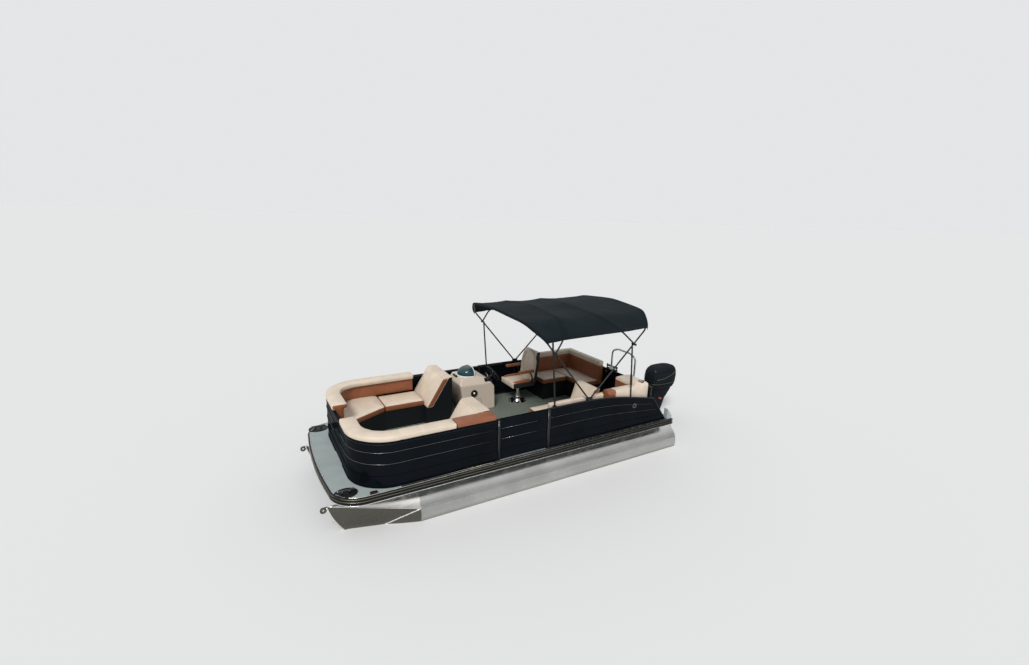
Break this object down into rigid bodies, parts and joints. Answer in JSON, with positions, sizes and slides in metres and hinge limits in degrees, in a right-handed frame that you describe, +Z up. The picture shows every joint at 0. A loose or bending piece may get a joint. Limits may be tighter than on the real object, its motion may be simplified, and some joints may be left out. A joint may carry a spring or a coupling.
{
  "type": "pontoon boat",
  "caption": "Twin-tube pontoon boat with fenced deck, lounge seating, helm console, folding bimini top and a tilting outboard.",
  "frame": {"origin": "amidships on the centreline, at the waterline of the empty boat", "axes": "+X forward to the bow, +Y to port, +Z up"},
  "size_m": [7.412, 2.59, 3.2496],
  "materials": {
    "bare_aluminium": "mill finish, brushed",
    "deck_grey": "fine textured",
    "woven_floor": "woven vinyl",
    "black_trim": "satin",
    "black_panel": "gloss",
    "black_frame": "powder coat",
    "cream_vinyl": "marine vinyl",
    "brown_vinyl": "marine vinyl",
    "black_base": "moulded",
    "cream_moulding": "moulded",
    "tinted_screen": "tinted acrylic",
    "silver_tube": "polished",
    "dark_canvas": "woven acrylic",
    "engine_black": "gloss",
    "engine_block": "plain",
    "propeller_steel": "polished",
    "rubber_grip": "matte"
  },
  "bodies": {
    "boat": {"pontoon_port": "bare_aluminium", "pontoon_starboard": "bare_aluminium", "crossmembers": "bare_aluminium", "motor_pod": "bare_aluminium", "deck": "deck_grey", "cockpit_floor": "woven_floor", "rub_rail": "black_trim", "deck_corner_caps": "black_trim", "stern_corner_wedges": "deck_grey", "fence_frame_port": "black_frame", "fence_frame_starboard": "black_frame", "fence_skins_port": "black_panel", "fence_skins_starboard": "black_panel", "stern_fence": "black_frame", "bow_base_port": "black_base", "bow_base_starboard": "black_base", "bow_seats": "cream_vinyl", "bow_backs": "brown_vinyl", "bow_bolster_port": "cream_vinyl", "bow_bolster_starboard": "cream_vinyl", "bolster_end_port": "brown_vinyl", "aft_base_port": "black_base", "aft_back_port": "brown_vinyl", "aft_side_pad_port": "cream_vinyl", "stern_pad_port": "cream_vinyl", "aft_base_starboard": "black_base", "aft_seat_starboard": "cream_vinyl", "aft_back_starboard": "brown_vinyl", "console": "cream_moulding", "windscreen": "tinted_screen", "speaker": "black_trim", "dash": "black_trim", "chair_pedestal": "silver_tube", "bimini_rear_frame": "black_frame", "bimini_brackets": "black_frame", "canopy": "dark_canvas", "tow_bar": "silver_tube", "ladder_bracket": "silver_tube", "nav_lights": "black_trim", "clamp_bracket": "engine_black"},
    "bow_gate_leaf": {"bow_gate": "black_panel"},
    "port_gate_leaf": {"port_gate": "black_panel"},
    "stern_gate_leaf": {"stern_gate": "black_panel"},
    "bow_lid_port_leaf": {"bow_lid_port": "cream_vinyl"},
    "bow_lid_starboard_leaf": {"bow_lid_starboard": "cream_vinyl"},
    "aft_lid_port_leaf": {"aft_lid_port": "cream_vinyl"},
    "aft_lid_starboard_leaf": {"aft_lid_starboard": "cream_vinyl"},
    "wheel": {"helm_wheel": "rubber_grip"},
    "chair": {"helm_chair": "cream_vinyl"},
    "front_bow": {"bimini_front_bow": "black_frame"},
    "front_inner": {"bimini_front_inner": "black_frame"},
    "rear_inner": {"bimini_rear_inner": "black_frame"},
    "front_legs": {"bimini_front_legs": "black_frame"},
    "boarding_ladder": {"ladder": "black_frame"},
    "swivel": {"swivel_bracket": "engine_black"},
    "motor": {"cowl": "engine_black", "powerhead": "engine_block", "outboard_leg": "engine_black"},
    "prop": {"propeller": "propeller_steel"}
  },
  "joints": [
    {"name": "bow_gate_swing", "type": "hinge", "parent": "boat", "child": "bow_gate_leaf", "pos_m": [2.598, 0.347, 0.9], "axis": [0, 0, -1], "range_deg": [0, 90]},
    {"name": "port_gate_swing", "type": "hinge", "parent": "boat", "child": "port_gate_leaf", "pos_m": [-0.247, 1.183, 0.9], "axis": [0, 0, -1], "range_deg": [0, 90]},
    {"name": "stern_gate_swing", "type": "hinge", "parent": "boat", "child": "stern_gate_leaf", "pos_m": [-2.457, 0.587, 0.9], "axis": [0, 0, 1], "range_deg": [0, 90]},
    {"name": "bow_lid_port_lift", "type": "hinge", "parent": "boat", "child": "bow_lid_port_leaf", "pos_m": [1.5, 1.05, 1.0203], "axis": [-1, 0, 0], "range_deg": [0, 70]},
    {"name": "bow_lid_starboard_lift", "type": "hinge", "parent": "boat", "child": "bow_lid_starboard_leaf", "pos_m": [1.4, -1.05, 1.0203], "axis": [1, 0, 0], "range_deg": [0, 70]},
    {"name": "aft_lid_port_lift", "type": "hinge", "parent": "boat", "child": "aft_lid_port_leaf", "pos_m": [-0.75, 1.05, 1.0203], "axis": [-1, 0, 0], "range_deg": [0, 70]},
    {"name": "aft_lid_starboard_lift", "type": "hinge", "parent": "boat", "child": "aft_lid_starboard_leaf", "pos_m": [-1.6, -1.028, 1.0203], "axis": [1, 0, 0], "range_deg": [0, 70]},
    {"name": "chair_swivel", "type": "hinge", "parent": "boat", "child": "chair", "pos_m": [-0.87, -0.72, 0.93], "axis": [0, 0, 1], "continuous": true},
    {"name": "ladder_swing", "type": "hinge", "parent": "boat", "child": "boarding_ladder", "pos_m": [-3.03, -0.458, 0.628], "axis": [0, -1, 0], "range_deg": [0, 180]},
    {"name": "bimini_fold", "type": "hinge", "parent": "boat", "child": "front_bow", "pos_m": [-1.046, 0, 1.289], "axis": [0, -1, 0], "range_deg": [0, 78], "deforming": ["canopy"]},
    {"name": "bimini_front_inner_fold", "type": "hinge", "parent": "front_bow", "child": "front_inner", "pos_m": [-0.34, 0, 2.13], "axis": [0, -1, 0], "range_deg": [-64, 0]},
    {"name": "bimini_front_legs_fold", "type": "hinge", "parent": "front_bow", "child": "front_legs", "pos_m": [-0.34, 0, 2.13], "axis": [0, -1, 0], "range_deg": [-35, 0]},
    {"name": "bimini_rear_inner_fold", "type": "hinge", "parent": "boat", "child": "rear_inner", "pos_m": [-1.94, 0, 2.1], "axis": [0, -1, 0], "range_deg": [0, 87]},
    {"name": "outboard_tilt", "type": "hinge", "parent": "boat", "child": "swivel", "pos_m": [-3.6, 0, 0.56], "axis": [0, 1, 0], "range_deg": [0, 65]},
    {"name": "outboard_steer", "type": "hinge", "parent": "swivel", "child": "motor", "pos_m": [-3.7, 0, 0.3], "axis": [0, 0, -1], "range_deg": [-30, 30]},
    {"name": "propeller_spin", "type": "hinge", "parent": "motor", "child": "prop", "pos_m": [-4.168, 0, -0.36], "axis": [1, 0, 0], "continuous": true},
    {"name": "wheel_turn", "type": "hinge", "parent": "boat", "child": "wheel", "pos_m": [-0.245, -0.8, 1.122], "axis": [-0.8192, 0, 0.5736], "range_deg": [-540, 540]}
  ],
  "couplings": [
    {"joint": "bimini_front_inner_fold", "follows": "bimini_fold", "ratio": -0.82051},
    {"joint": "bimini_front_legs_fold", "follows": "bimini_fold", "ratio": -0.44872},
    {"joint": "bimini_rear_inner_fold", "follows": "bimini_fold", "ratio": 1.1154},
    {"joint": "wheel_turn", "follows": "outboard_steer", "ratio": 18}
  ]
}
